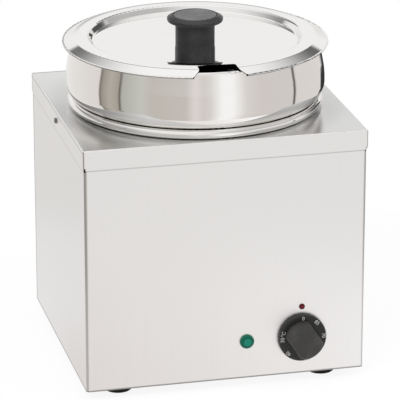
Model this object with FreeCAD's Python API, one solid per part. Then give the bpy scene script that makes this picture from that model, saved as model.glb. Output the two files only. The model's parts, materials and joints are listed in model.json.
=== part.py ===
"""Soup kettle: a square casing round a heated water basin, with a lift-out pot and its lid.

Millimetres. x runs to the right, y to the back and z up. The origin is on the table, under the
middle of the casing. Each sub-part goes to parts/NAME.step.
"""
import math
import os

import FreeCAD
import Part

V = FreeCAD.Vector
X = V(1, 0, 0)
Y = V(0, 1, 0)
Z = V(0, 0, 1)

# Sheet metal
SHEET = 0.8
COVER_BEND_R = 1.6
COVER_EDGE_R = 1.4
CASE_BEND_R = 3.5
WALL_END_R = 0.6
FLANGE = 14.0
LIP_FIT = 0.1
PANEL_FIT = 0.2

# Water basin and casing
BASIN_R = 119.5
BASIN_DEPTH = 117.0
BASIN_CORNER_R = 12.0
CURL_R = 4.5
BASIN_HOLE_FIT = 0.4
SIDE_MARGIN = 14.0
FRONT_MARGIN = 4.5
CASE_H = 250.4
LIP_H = 20.0
LIP_RELIEF = 2.4

# Feet
FOOT_H = 10.0
FOOT_R = 14.0
FOOT_EDGE_R = 2.0
FOOT_SIDE_CLEAR = 22.3
FOOT_FRONT_CLEAR = 12.3

# Pot
POT_SHEET = 1.0
WATER_GAP = 5.6
WATER_DEPTH = 18.0
SEAT_SLOPE = math.radians(30.0)
SEAT_GAP = 0.3
POT_BASE_R = 14.0
SEAT_INNER_R = 8.0
SEAT_OUTER_R = 17.0
BELLY_PROUD = 10.6
BELLY_H = 34.0
BELLY_R = 100.0
NECK_DRAW = 6.3
POT_RISE = 67.0
RIM_BEAD_R = 1.8

# Lid and its knob
LID_SHEET = 0.8
LID_OVERHANG = 9.4
LID_SLOPE_W = 11.0
LID_SLOPE_DROP = 4.9
LID_EDGE_R = 1.1
LID_RIM_W = 14.0
LID_STEP_W = 4.0
LID_RECESS = 5.7
LID_FOLD_R = 2.0
LID_SEAT_GAP = 0.3
NOTCH_TURN = math.radians(-2.6)
NOTCH_W = 38.0
NOTCH_MOUTH_W = 61.0
NOTCH_DEPTH = 13.4
NOTCH_CORNER_R = 3.0
NOTCH_FLARE_R = 9.0
KNOB_R = 28.0
KNOB_WAIST_R = 19.7
KNOB_H = 26.0
KNOB_CAP_H = 6.6
KNOB_NECK_R = 4.0
KNOB_EDGE_R = 2.2
KNOB_TOP_BEVEL = 5.2
KNOB_TOP_DROP = 2.6
KNOB_DISC_R = 21.6
KNOB_DISC_T = 3.0
KNOB_GROOVE = 0.5
INSERT_R = 4.5
INSERT_H = 14.0
KNOB_RIM_R = 0.8
BOLT_BITE = 11.2

# Dial and thermostat
DIAL_FROM_RIGHT = 65.3
CONTROL_H = 38.9
DIAL_R = 24.3
DIAL_GAP = 1.0
SKIRT_T = 5.0
SKIRT_BEVEL = 1.2
SKIRT_WALL = 3.0
SKIRT_HOLLOW = 2.6
SKIRT_EDGE_R = 0.6
GRIP_L = 38.0
GRIP_W = 28.5
GRIP_TOP_SHARE = 0.94
GRIP_H = 13.0
GRIP_EDGE_R = 3.0
GRIP_TURN = 33.0
HUB_R = 8.0
DIAL_INSERT_WALL = 2.0
DIAL_INSERT_L = 13.25
SHAFT_R = 3.0
SHAFT_FIT = 0.05
SHAFT_INSIDE = 14.0
THERMOSTAT_W = 40.0
THERMOSTAT_H = 36.0
THERMOSTAT_D = 28.0
BUSH_R = 5.0
THERMOSTAT_SCREW_SPAN = 28.0
BLADE_W = 6.3
BLADE_T = 0.8
BLADE_L = 8.0

# Lamps
LAMP_FROM_DIAL = 56.3
LAMP_R = 7.2
LAMP_BODY_R = 6.0
LAMP_BODY_L = 30.0
LAMP_DOME = 3.2
LAMP_COLLAR = 1.6
LAMP_TOP_R = 4.3
LAMP_EDGE_R = 0.4
LAMP_CROWN_R = 0.8
LAMP_NUT_R = 8.5
LAMP_NUT_T = 3.0
INDEX_ABOVE_DIAL = 32.0
INDEX_R = 3.0
INDEX_BODY_R = 2.4
INDEX_BODY_L = 18.0
INDEX_DOME = 1.6
INDEX_EDGE_R = 1.4
INDEX_CLIP_L = 4.5

# Heater under the basin
HEAT_PLATE_SETBACK = 35.5
HEAT_PLATE_T = 4.0
ELEMENT_RING_R = 70.0
ELEMENT_R = 4.2
ELEMENT_TURN = 340.0
ELEMENT_GAP_AT = -45.0
ELEMENT_LEG = 18.0
PIN_R = 1.6
PIN_L = 8.0
CLAMP_W = 20.0
CLAMP_T = 1.5
CLAMP_OVERLAP = 6.0
STUD_R = 4.0
STUD_SPARE = 4.0
BULB_R = 3.2
BULB_L = 70.0
BULB_SETBACK = 24.5
CLIP_W = 12.0
CLIP_T = 0.8
CLIP_FOOT = 7.0
CAPILLARY_R = 1.1
CAPILLARY_BEND = 9.0
CUTOUT_R = 8.0
CUTOUT_H = 11.0
CUTOUT_BEARING = 232.4
CUTOUT_FROM_PLATE = 14.4
CUTOUT_FLANGE_L = 36.0
CUTOUT_FLANGE_W = 14.0
CUTOUT_FLANGE_T = 1.2
CUTOUT_STUD_SPAN = 26.0
CUTOUT_END_R = 6.6

# Supply
GLAND_FROM_LEFT = 47.0
GLAND_UP = 36.0
GLAND_BORE_R = 4.0
GLAND_THREAD_R = 8.0
GLAND_HEX = 20.0
GLAND_HEX_T = 4.5
GLAND_DOME_L = 14.5
GLAND_INSIDE = 12.0
GLAND_NUT_T = 4.5
GLAND_NUT_HEX = 22.0
GLAND_DOME_WALL = 1.0
GLAND_DOME_EDGE_R = 6.3
GLAND_SEAL_WALL = 2.0
TERMINAL_AT = (-70.0, 70.0)
TERMINAL_W = 46.0
TERMINAL_D = 22.0
TERMINAL_H = 18.0
TERMINAL_PITCH = 8.0
EARTH_SETBACK = 44.0
LUG_R = 4.4
LUG_TONGUE_L = 8.0
EARTH_STUD_L = 18.0
WIRE_R = 1.3
WIRE_BEND = 7.0
WIRE_UP = 9.2

# Fasteners
HOLE_FIT = 0.1
HEAD_R_SHARE = 1.9
HEAD_H_SHARE = 1.2
HEAD_EDGE_SHARE = 0.45
SLOT_L_SHARE = 0.6
SLOT_W_SHARE = 0.5
SLOT_DEPTH_SHARE = 0.6
M3_R = 1.5
M4_R = 2.0
M5_R = 2.5
NUT_SHARE = 1.6
NUT_FLATS_SHARE = 3.4
WASHER_R = 7.5
COVER_SCREW_DROP = 10.5
SCREW_L = 9.0
FOOT_BORE_R = 5.8
FOOT_BORE_DEPTH = 5.0
VENT_L = 34.0
VENT_W = 4.0
VENT_PITCH = 12.0
VENT_COUNT = 6
VENT_END_R = 1.9

# Levels and outlines that follow from the sizes above
STACK = 6 * SHEET
PLY = 2 * SHEET
CASE_Z = FOOT_H
COVER_Z = CASE_Z + CASE_H
LIP_Z = COVER_Z - LIP_H
CURL_MEAN_R = BASIN_R + CURL_R
CURL_Z = COVER_Z + CURL_R
COVER_HALF_W = BASIN_R + 2 * CURL_R + SIDE_MARGIN
COVER_HALF_D = BASIN_R + 2 * CURL_R + FRONT_MARGIN
CASE_HALF_W = COVER_HALF_W - SHEET - LIP_FIT
CASE_HALF_D = COVER_HALF_D - SHEET - LIP_FIT
FRONT_Y = -CASE_HALF_D
FRONT_INSIDE_Y = FRONT_Y + SHEET
REAR_Y = CASE_HALF_D
BASE_TOP = CASE_Z + SHEET
BASIN_FLOOR = COVER_Z - BASIN_DEPTH
BASIN_UNDER = BASIN_FLOOR - SHEET
HEAT_PLATE_R = BASIN_R - HEAT_PLATE_SETBACK
CUTOUT_FROM_AXIS = HEAT_PLATE_R + CUTOUT_FROM_PLATE
BULB_FROM_AXIS = BASIN_R - BULB_SETBACK
DIAL_X = COVER_HALF_W - DIAL_FROM_RIGHT
CONTROL_Z = CASE_Z + CONTROL_H
LAMP_X = DIAL_X - LAMP_FROM_DIAL
INDEX_Z = CONTROL_Z + INDEX_ABOVE_DIAL
GLAND_X = GLAND_FROM_LEFT - COVER_HALF_W
GLAND_Z = CASE_Z + GLAND_UP
RIM_Z = COVER_Z + POT_RISE
POT_BELLY_R = BASIN_R + BELLY_PROUD
POT_NECK_R = POT_BELLY_R - NECK_DRAW
LID_R = POT_NECK_R + LID_OVERHANG
WIRE_Z = BASE_TOP + WIRE_UP
LID_FOLD_AT = LID_R - LID_EDGE_R - LID_SLOPE_W
THERMOSTAT_BACK = FRONT_INSIDE_Y + THERMOSTAT_D


def rounded_edges(points, radii):
    """Straight runs through the points, with an arc of the given radius at each one between the ends."""
    edges = []
    here = points[0]
    for before, corner, after, radius in zip(points, points[1:], points[2:], radii):
        back = (before - corner).normalize()
        ahead = (after - corner).normalize()
        half = back.getAngle(ahead) / 2
        reach = radius / math.tan(half)
        start = corner + back * reach
        end = corner + ahead * reach
        middle = corner + (back + ahead).normalize() * (radius / math.sin(half) - radius)
        if here.distanceToPoint(start) > 1e-6:
            edges.append(Part.LineSegment(here, start).toShape())
        if radius > 0:
            edges.append(Part.Arc(start, middle, end).toShape())
        here = end
    if here.distanceToPoint(points[-1]) > 1e-6:
        edges.append(Part.LineSegment(here, points[-1]).toShape())
    return edges


def shifted_path(points, radii, shift):
    """The (r, z) path moved sideways by shift, towards the left of its run."""
    runs = [(V(b[0], 0, b[1]) - V(a[0], 0, a[1])).normalize() for a, b in zip(points, points[1:])]
    normals = [V(-run.z, 0, run.x) for run in runs]
    corners = [V(r, 0, z) for r, z in points]
    moved = [corners[0] + normals[0] * shift]
    moved_radii = []
    for i in range(1, len(points) - 1):
        before, after = normals[i - 1], normals[i]
        moved.append(corners[i] + (before + after) * (shift / (1 + before.dot(after))))
        turns_left = runs[i - 1].dot(normals[i]) < 0
        moved_radii.append(radii[i - 1] - shift if turns_left else radii[i - 1] + shift)
    moved.append(corners[-1] + normals[-1] * shift)
    return moved, moved_radii


def turned_sheet(points, radii, thickness):
    """A sheet of revolution about z, from the (r, z) path of its middle surface."""
    left, left_radii = shifted_path(points, radii, thickness / 2)
    right, right_radii = shifted_path(points, radii, -thickness / 2)
    edges = rounded_edges(left, left_radii) + rounded_edges(right, right_radii)
    edges.append(Part.LineSegment(left[0], right[0]).toShape())
    edges.append(Part.LineSegment(left[-1], right[-1]).toShape())
    face = Part.Face(Part.Wire(Part.__sortEdges__(edges)))
    return face.revolve(V(0, 0, 0), Z, 360)


def turned_solid(points, radii):
    """A solid of revolution about z, from its (r, z) outline that starts and ends on the axis."""
    outline = [V(r, 0, z) for r, z in points]
    edges = rounded_edges(outline, radii)
    edges.append(Part.LineSegment(outline[-1], outline[0]).toShape())
    return Part.Face(Part.Wire(edges)).revolve(V(0, 0, 0), Z, 360)


def ring(mean_r, z, tube_r):
    return Part.makeTorus(mean_r, tube_r, V(0, 0, z))


def prism(corners, radii, z0, z1):
    """An upright prism over a polygon with rounded corners."""
    points = [V(x, y, z0) for x, y in corners]
    middle = (points[0] + points[-1]) * 0.5
    face = Part.Face(Part.Wire(rounded_edges([middle] + points + [middle], radii)))
    return face.extrude(V(0, 0, z1 - z0))


def rectangle(x0, x1, y0, y1):
    return [(x0, y0), (x1, y0), (x1, y1), (x0, y1)]


def block(x0, x1, y0, y1, z0, z1):
    return Part.makeBox(x1 - x0, y1 - y0, z1 - z0, V(x0, y0, z0))


def rod(radius, start, axis, length):
    return Part.makeCylinder(radius, length, start, axis)


def drill(radius, middle, axis, reach):
    """A cutter along the axis, reaching the same way past both sides of its middle."""
    return rod(radius, middle - axis * reach, axis, 2 * reach)


def placed(shape, at, axis):
    """A shape modelled along z, moved so that its origin is at a point and its z runs along the axis."""
    moved = shape.copy()
    moved.Placement = FreeCAD.Placement(at, FreeCAD.Rotation(Z, axis))
    return moved


def united(shapes):
    whole = shapes[0].fuse(shapes[1:]) if len(shapes) > 1 else shapes[0]
    return whole.removeSplitter()


def screw(seat, axis, shank_r, length):
    """A pan-head screw with a cross recess: its head is on the seat and its shank along the axis."""
    head_r = HEAD_R_SHARE * shank_r
    head_h = HEAD_H_SHARE * shank_r
    head = rod(head_r, V(0, 0, -head_h), Z, head_h)
    crown = [e for e in head.Edges if e.BoundBox.ZMax < -head_h / 2]
    head = head.makeFillet(HEAD_EDGE_SHARE * head_h, crown)
    body = head.fuse(rod(shank_r, V(0, 0, 0), Z, length)).removeSplitter()
    half_l = SLOT_L_SHARE * head_r
    half_w = SLOT_W_SHARE * shank_r / 2
    slot_floor = (SLOT_DEPTH_SHARE - 1) * head_h
    bar = block(-half_l, half_l, -half_w, half_w, -head_h, slot_floor)
    cross = block(-half_w, half_w, -half_l, half_l, -head_h, slot_floor)
    return placed(body.cut([bar, cross]), seat, axis)


def hex_prism(flats, height):
    corner = flats / math.sqrt(3)
    turns = [math.radians(60 * i) for i in range(6)]
    return prism([(corner * math.cos(a), corner * math.sin(a)) for a in turns], [0] * 6, 0, height)


def hex_nut(seat, axis, thread_r):
    """A nut that starts at its seat and runs along the axis."""
    height = NUT_SHARE * thread_r
    nut = hex_prism(NUT_FLATS_SHARE * thread_r, height).cut(rod(thread_r + HOLE_FIT, V(0, 0, 0), Z, height))
    return placed(nut, seat, axis)


def tube(points, radius, bend):
    """A round tube or wire along straight runs joined by arcs."""
    path = [V(*p) for p in points]
    wire = Part.Wire(rounded_edges(path, [bend] * (len(path) - 2)))
    section = Part.Wire(Part.makeCircle(radius, path[0], path[1] - path[0]))
    return Part.Solid(wire.makePipeShell([section], True, False))


def mirrored_pair(value):
    return (-value, value)


# Places of the fasteners

def foot_places():
    """Inside the casing's bottom flange, where the base plate is a single sheet."""
    x = CASE_HALF_W - SHEET - FLANGE - FOOT_SIDE_CLEAR
    y = CASE_HALF_D - SHEET - FLANGE - FOOT_FRONT_CLEAR
    return {
        "foot_front_left": (-x, -y),
        "foot_front_right": (x, -y),
        "foot_rear_left": (-x, y),
        "foot_rear_right": (x, y),
    }


def cover_screw_places():
    z = COVER_Z - COVER_SCREW_DROP
    return [(V(-COVER_HALF_W, 0, z), X), (V(COVER_HALF_W, 0, z), -X), (V(0, COVER_HALF_D, z), -Y)]


def base_screw_places():
    x = CASE_HALF_W - SHEET - FLANGE / 2
    y = CASE_HALF_D / 2
    return [V(sx, sy, CASE_Z) for sx in mirrored_pair(x) for sy in mirrored_pair(y)]


def rear_screw_places():
    x = CASE_HALF_W - SHEET - FLANGE / 2
    levels = (CASE_Z + CASE_H / 5, CASE_Z + 4 * CASE_H / 5)
    return [V(sx, REAR_Y, z) for sx in mirrored_pair(x) for z in levels]


def thermostat_screw_places():
    half = THERMOSTAT_SCREW_SPAN / 2
    return [V(DIAL_X + dx, FRONT_Y, CONTROL_Z) for dx in mirrored_pair(half)]


# Casing

def casing_shell():
    """Front and side walls bent from one sheet, with flanges turned in at the bottom and the rear."""
    top = COVER_Z - SHEET
    inner_w = CASE_HALF_W - SHEET
    past = 2 * FLANGE
    corner = [CASE_BEND_R, CASE_BEND_R, WALL_END_R, WALL_END_R]
    inside = [CASE_BEND_R - SHEET, CASE_BEND_R - SHEET, 0, 0]
    walls = prism(rectangle(-CASE_HALF_W, CASE_HALF_W, FRONT_Y, REAR_Y), corner, CASE_Z, top)
    room = rectangle(-inner_w, inner_w, FRONT_INSIDE_Y, REAR_Y + past)
    shell = walls.cut(prism(room, inside, CASE_Z - past, top + past))
    flange_end = REAR_Y - 2 * SHEET
    floor_outline = rectangle(-inner_w, inner_w, FRONT_INSIDE_Y, flange_end)
    floor = prism(floor_outline, inside, BASE_TOP, BASE_TOP + SHEET)
    floor = floor.cut(block(FLANGE - inner_w, inner_w - FLANGE, FRONT_INSIDE_Y + FLANGE, REAR_Y,
                            CASE_Z, BASE_TOP + past))
    sides = [block(min(a, b), max(a, b), flange_end, REAR_Y - SHEET, BASE_TOP, top)
             for a, b in ((-inner_w, FLANGE - inner_w), (inner_w, inner_w - FLANGE))]
    shell = united([shell, floor] + sides)
    cutters = [drill(M3_R + HOLE_FIT, seat, axis, STACK) for seat, axis in cover_screw_places()[:2]]
    cutters += [drill(M3_R + HOLE_FIT, seat, Z, STACK) for seat in base_screw_places()]
    cutters += [drill(M3_R + HOLE_FIT, seat, Y, STACK) for seat in rear_screw_places()]
    cutters += [drill(M4_R + HOLE_FIT, seat, Y, PLY) for seat in thermostat_screw_places()]
    cutters.append(drill(BUSH_R + HOLE_FIT, V(DIAL_X, FRONT_Y, CONTROL_Z), Y, PLY))
    cutters.append(drill(LAMP_BODY_R + HOLE_FIT, V(LAMP_X, FRONT_Y, CONTROL_Z), Y, PLY))
    cutters.append(drill(INDEX_BODY_R + HOLE_FIT, V(DIAL_X, FRONT_Y, INDEX_Z), Y, PLY))
    return shell.cut(cutters)


def rear_panel():
    half = CASE_HALF_W - SHEET - PANEL_FIT
    panel = block(-half, half, REAR_Y - SHEET, REAR_Y, CASE_Z, COVER_Z - SHEET)
    cutters = [drill(M3_R + HOLE_FIT, seat, Y, PLY) for seat in rear_screw_places()]
    rear_cover_seat, rear_cover_axis = cover_screw_places()[2]
    cutters.append(drill(M3_R + HOLE_FIT, rear_cover_seat, rear_cover_axis, STACK))
    cutters.append(drill(GLAND_THREAD_R + HOLE_FIT, V(GLAND_X, REAR_Y, GLAND_Z), Y, PLY))
    return panel.cut(cutters)


def top_cover():
    """A shallow tray turned upside down over the walls, with a round opening for the basin."""
    outline = rectangle(-COVER_HALF_W, COVER_HALF_W, -COVER_HALF_D, COVER_HALF_D)
    inner_w = COVER_HALF_W - SHEET
    inner_d = COVER_HALF_D - SHEET
    tray = prism(outline, [COVER_BEND_R] * 4, LIP_Z, COVER_Z)
    top_edges = [e for e in tray.Edges if e.BoundBox.ZMin > COVER_Z - SHEET]
    tray = tray.makeFillet(COVER_EDGE_R, top_edges)
    room = rectangle(-inner_w, inner_w, -inner_d, inner_d)
    cutters = [prism(room, [COVER_BEND_R - SHEET] * 4, LIP_Z - LIP_H, COVER_Z - SHEET)]
    cutters.append(rod(BASIN_R + SHEET + BASIN_HOLE_FIT, V(0, 0, LIP_Z), Z, 2 * LIP_H))
    for x in mirrored_pair(COVER_HALF_W):
        for y in mirrored_pair(COVER_HALF_D):
            cutters.append(block(x - LIP_RELIEF, x + LIP_RELIEF, y - LIP_RELIEF, y + LIP_RELIEF,
                                 LIP_Z - LIP_RELIEF, LIP_Z + LIP_RELIEF))
    cutters += [drill(M3_R + HOLE_FIT, seat, axis, STACK) for seat, axis in cover_screw_places()]
    return tray.cut(cutters)


def water_basin():
    """A drawn basin whose rim is rolled over onto the cover."""
    middle_r = BASIN_R + SHEET / 2
    curl = CURL_R - SHEET / 2
    floor = BASIN_FLOOR - SHEET / 2
    path = [(0, floor), (middle_r, floor), (middle_r, CURL_Z + curl), (middle_r + 2 * curl, CURL_Z + curl),
            (middle_r + 2 * curl, CURL_Z - curl), (middle_r + curl, CURL_Z - curl)]
    return turned_sheet(path, [BASIN_CORNER_R, curl, curl, curl], SHEET)


def base_plate():
    half_w = CASE_HALF_W - SHEET - PANEL_FIT
    front = FRONT_INSIDE_Y + PANEL_FIT
    rear = REAR_Y - SHEET - PANEL_FIT
    corner = CASE_BEND_R - SHEET
    plate = prism(rectangle(-half_w, half_w, front, rear), [corner, corner, 0, 0], CASE_Z, BASE_TOP)
    cutters = [drill(M3_R + HOLE_FIT, seat, Z, PLY) for seat in base_screw_places()]
    cutters += [drill(M5_R + HOLE_FIT, V(x, y, CASE_Z), Z, PLY) for x, y in foot_places().values()]
    half_l, half_slot = VENT_L / 2, VENT_W / 2
    for i in range(VENT_COUNT):
        x = (i - (VENT_COUNT - 1) / 2) * VENT_PITCH
        slot = rectangle(x - half_slot, x + half_slot, -half_l, half_l)
        cutters.append(prism(slot, [VENT_END_R] * 4, CASE_Z - SHEET, BASE_TOP + SHEET))
    cutters += [drill(M3_R + HOLE_FIT, V(x, y, CASE_Z), Z, PLY) for x, y in terminal_screw_places()]
    return plate.cut(cutters)


def foot(x, y):
    """A rubber foot with a sunk bore for its screw."""
    body = rod(FOOT_R, V(x, y, 0), Z, FOOT_H)
    body = body.makeFillet(FOOT_EDGE_R, [e for e in body.Edges if e.BoundBox.ZMax < FOOT_EDGE_R])
    bore = rod(FOOT_BORE_R, V(x, y, -FOOT_H), Z, FOOT_H + FOOT_BORE_DEPTH)
    return body.cut([bore, rod(M5_R + HOLE_FIT, V(x, y, 0), Z, 2 * FOOT_H)])


def casing_fasteners():
    foot_length = BASE_TOP - FOOT_BORE_DEPTH + NUT_SHARE * M5_R + SHEET
    feet = foot_places().values()
    return {
        "cover_screws": [screw(seat, axis, M3_R, SCREW_L) for seat, axis in cover_screw_places()],
        "base_screws": [screw(seat, Z, M3_R, SCREW_L) for seat in base_screw_places()],
        "rear_panel_screws": [screw(seat, -Y, M3_R, SCREW_L) for seat in rear_screw_places()],
        "foot_screws": [screw(V(x, y, FOOT_BORE_DEPTH), Z, M5_R, foot_length) for x, y in feet],
        "foot_nuts": [hex_nut(V(x, y, BASE_TOP), Z, M5_R) for x, y in feet],
    }


# Heater

def heater():
    """A tubular ring element pressed against a spreader plate under the basin by a cross clamp."""
    stud_fit = STUD_R + 2 * HOLE_FIT
    plate_under = BASIN_UNDER - HEAT_PLATE_T
    ring_z = plate_under - ELEMENT_R
    clamp_top = ring_z - ELEMENT_R
    clamp_under = clamp_top - CLAMP_T
    nut_h = NUT_SHARE * STUD_R
    plate = rod(HEAT_PLATE_R, V(0, 0, plate_under), Z, HEAT_PLATE_T)
    plate = plate.cut(rod(stud_fit, V(0, 0, plate_under), Z, HEAT_PLATE_T))
    reach = ELEMENT_RING_R + CLAMP_OVERLAP
    half = CLAMP_W / 2
    bars = [block(-reach, reach, -half, half, clamp_under, clamp_top),
            block(-half, half, -reach, reach, clamp_under, clamp_top)]
    clamp = united(bars).cut(rod(stud_fit, V(0, 0, clamp_under), Z, CLAMP_T))
    stud_l = BASIN_UNDER - clamp_under + nut_h + STUD_SPARE
    return {
        "heat_plate": plate,
        "heating_element": heating_element(ring_z),
        "element_clamp": clamp,
        "clamp_stud": rod(STUD_R, V(0, 0, BASIN_UNDER - stud_l), Z, stud_l),
        "clamp_nut": hex_nut(V(0, 0, clamp_under), -Z, STUD_R),
    }


def element_pin_places():
    """Where the element's two legs stand, either side of the gap in its ring."""
    half_gap = (360 - ELEMENT_TURN) / 2
    angles = [math.radians(ELEMENT_GAP_AT + side * half_gap) for side in (1, -1)]
    return [(ELEMENT_RING_R * math.cos(a), ELEMENT_RING_R * math.sin(a)) for a in angles]


def element_pin_end():
    return BASIN_UNDER - HEAT_PLATE_T - ELEMENT_R - ELEMENT_LEG - PIN_L


def heating_element(ring_z):
    start = ELEMENT_GAP_AT + (360 - ELEMENT_TURN) / 2
    turn = Part.makeTorus(ELEMENT_RING_R, ELEMENT_R, V(0, 0, ring_z), Z, 0, 360, ELEMENT_TURN)
    turn.rotate(V(0, 0, 0), Z, start)
    pieces = [turn]
    for x, y in element_pin_places():
        pieces.append(Part.makeSphere(ELEMENT_R, V(x, y, ring_z)))
        pieces.append(rod(ELEMENT_R, V(x, y, ring_z), -Z, ELEMENT_LEG))
        pieces.append(rod(PIN_R, V(x, y, ring_z), -Z, ELEMENT_LEG + PIN_L))
    return united(pieces)


def bulb_z():
    return BASIN_UNDER - BULB_R


def thermostat():
    """The thermostat with its bush through the front wall, and its bulb clipped under the basin."""
    half_w = THERMOSTAT_W / 2
    half_h = THERMOSTAT_H / 2
    body = block(DIAL_X - half_w, DIAL_X + half_w, FRONT_INSIDE_Y, THERMOSTAT_BACK,
                 CONTROL_Z - half_h, CONTROL_Z + half_h)
    bush = rod(BUSH_R, V(DIAL_X, FRONT_Y, CONTROL_Z), Y, THERMOSTAT_D)
    blades = []
    for x, z in thermostat_blade_places():
        blades.append(block(x - BLADE_T / 2, x + BLADE_T / 2,
                            THERMOSTAT_BACK - BLADE_L, THERMOSTAT_BACK + BLADE_L,
                            z - BLADE_W / 2, z + BLADE_W / 2))
    body = united([body, bush] + blades)
    shaft_hole_l = SHEET + SHAFT_INSIDE + SHAFT_FIT
    cutters = [rod(SHAFT_R + SHAFT_FIT, V(DIAL_X, FRONT_Y - SHEET, CONTROL_Z), Y, shaft_hole_l)]
    cutters += [drill(M4_R + HOLE_FIT / 2, seat, Y, SCREW_L + SHEET) for seat in thermostat_screw_places()]
    bulb = rod(BULB_R, V(-BULB_L / 2, BULB_FROM_AXIS, bulb_z()), X, BULB_L)
    return {
        "thermostat_body": body.cut(cutters),
        "thermostat_screws": [screw(seat, Y, M4_R, SCREW_L) for seat in thermostat_screw_places()],
        "sensor_bulb": bulb,
        "bulb_clip": bulb_clip(),
        "capillary_tube": capillary_tube(),
    }


def thermostat_blade_places():
    dx = THERMOSTAT_W / 5
    return [(DIAL_X - dx, CONTROL_Z - THERMOSTAT_H / 4), (DIAL_X + dx, CONTROL_Z - THERMOSTAT_H / 4)]


def bulb_clip():
    """A saddle under the bulb, with two feet against the basin."""
    inner = BULB_R
    outer = BULB_R + CLIP_T
    z = bulb_z()
    saddle = rod(outer, V(-CLIP_W / 2, BULB_FROM_AXIS, z), X, CLIP_W)
    front, rear = BULB_FROM_AXIS - outer, BULB_FROM_AXIS + outer
    saddle = united([saddle, block(-CLIP_W / 2, CLIP_W / 2, front, rear, z, BASIN_UNDER)])
    saddle = saddle.cut([
        rod(inner, V(-CLIP_W, BULB_FROM_AXIS, z), X, 2 * CLIP_W),
        block(-CLIP_W, CLIP_W, front + CLIP_T, rear - CLIP_T, z, BASIN_FLOOR),
        block(-CLIP_W, CLIP_W, front, rear, BASIN_UNDER, BASIN_UNDER + outer),
    ])
    feet = [block(-CLIP_W / 2, CLIP_W / 2, y0, y1, BASIN_UNDER - CLIP_T, BASIN_UNDER)
            for y0, y1 in ((rear - CLIP_T, rear + CLIP_FOOT), (front - CLIP_FOOT, front + CLIP_T))]
    return united([saddle] + feet)


def capillary_tube():
    x = DIAL_X + THERMOSTAT_W / 3
    z = CONTROL_Z + THERMOSTAT_H / 3
    end = BULB_L / 2
    y = BULB_FROM_AXIS
    points = [(x, THERMOSTAT_BACK, z), (x, 0, z), (x, 0.6 * y, (z + bulb_z()) / 2),
              (end + 0.4 * y, y, bulb_z()), (end, y, bulb_z())]
    return tube(points, CAPILLARY_R, CAPILLARY_BEND)


def cutout_place():
    """Where the cut-out sits, just outside the spreader plate."""
    bearing = math.radians(CUTOUT_BEARING)
    return CUTOUT_FROM_AXIS * math.cos(bearing), CUTOUT_FROM_AXIS * math.sin(bearing)


def cutout_blade_places():
    x, y = cutout_place()
    return [(x + dx, y) for dx in mirrored_pair(CUTOUT_R / 2)]


def cutout_blade_end():
    return BASIN_UNDER - CUTOUT_H - BLADE_L


def overheat_cutout():
    """A disc cut-out held against the basin by two studs."""
    x, y = cutout_place()
    half_l, half_w = CUTOUT_FLANGE_L / 2, CUTOUT_FLANGE_W / 2
    flange_under = BASIN_UNDER - CUTOUT_FLANGE_T
    flange = prism(rectangle(x - half_l, x + half_l, y - half_w, y + half_w), [CUTOUT_END_R] * 4,
                   flange_under, BASIN_UNDER)
    can = rod(CUTOUT_R, V(x, y, BASIN_UNDER - CUTOUT_H), Z, CUTOUT_H)
    blades = [block(bx - BLADE_T / 2, bx + BLADE_T / 2, by - BLADE_W / 2, by + BLADE_W / 2,
                    cutout_blade_end(), BASIN_UNDER - CUTOUT_H / 2) for bx, by in cutout_blade_places()]
    studs = [V(x + dx, y, BASIN_UNDER) for dx in mirrored_pair(CUTOUT_STUD_SPAN / 2)]
    stud_l = CUTOUT_FLANGE_T + NUT_SHARE * M3_R + SHEET
    flange = flange.cut([drill(M3_R + HOLE_FIT, top, Z, CUTOUT_H) for top in studs])
    return {
        "overheat_cutout": united([flange, can] + blades),
        "cutout_studs": [rod(M3_R, top, -Z, stud_l) for top in studs],
        "cutout_nuts": [hex_nut(V(top.x, top.y, flange_under), -Z, M3_R) for top in studs],
    }


# Lamps

def pilot_lamp():
    """The green lamp: a domed lens outside, a body through the wall and a nut behind it."""
    face = V(LAMP_X, FRONT_Y, CONTROL_Z)
    outline = [(0, 0), (LAMP_R, 0), (LAMP_R, LAMP_COLLAR), (LAMP_TOP_R, LAMP_DOME), (0, LAMP_DOME)]
    lens = turned_solid(outline, [0, LAMP_EDGE_R, LAMP_CROWN_R])
    body = rod(LAMP_BODY_R, face, Y, LAMP_BODY_L)
    blades = [block(x - BLADE_T / 2, x + BLADE_T / 2, FRONT_Y + LAMP_BODY_L - BLADE_L,
                    FRONT_Y + LAMP_BODY_L + BLADE_L, CONTROL_Z - BLADE_W / 2, CONTROL_Z + BLADE_W / 2)
              for x in lamp_blade_places()]
    nut = rod(LAMP_NUT_R, V(LAMP_X, FRONT_INSIDE_Y, CONTROL_Z), Y, LAMP_NUT_T)
    nut = nut.cut(drill(LAMP_BODY_R + HOLE_FIT, face, Y, LAMP_BODY_L))
    return {
        "pilot_lens": placed(lens, face, -Y),
        "pilot_body": united([body] + blades),
        "pilot_nut": nut,
    }


def lamp_blade_places():
    dx = LAMP_BODY_R / 2
    return [LAMP_X - dx, LAMP_X + dx]


def index_lamp():
    """The small red lamp above the dial, which also marks its setting."""
    face = V(DIAL_X, FRONT_Y, INDEX_Z)
    lens = turned_solid([(0, 0), (INDEX_R, 0), (INDEX_R, INDEX_DOME), (0, INDEX_DOME)], [0, INDEX_EDGE_R])
    sleeve = rod(INDEX_BODY_R, face, Y, INDEX_BODY_L)
    clip = rod(INDEX_R, V(DIAL_X, FRONT_INSIDE_Y, INDEX_Z), Y, INDEX_CLIP_L)
    return {"index_lens": placed(lens, face, -Y), "index_body": united([sleeve, clip])}


# Supply

def terminal_screw_places():
    x, y = TERMINAL_AT
    half = TERMINAL_W / 2 - M4_R
    return [(x - half, y), (x + half, y)]


def terminal_entries():
    """The five wire entries on the front of the terminal block, from left to right."""
    x, y = TERMINAL_AT
    return [V(x + (i - 2) * TERMINAL_PITCH, y - TERMINAL_D / 2, WIRE_Z) for i in range(5)]


def earth_place():
    entry = terminal_entries()[0]
    return V(entry.x, entry.y - EARTH_SETBACK, BASE_TOP)


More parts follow.
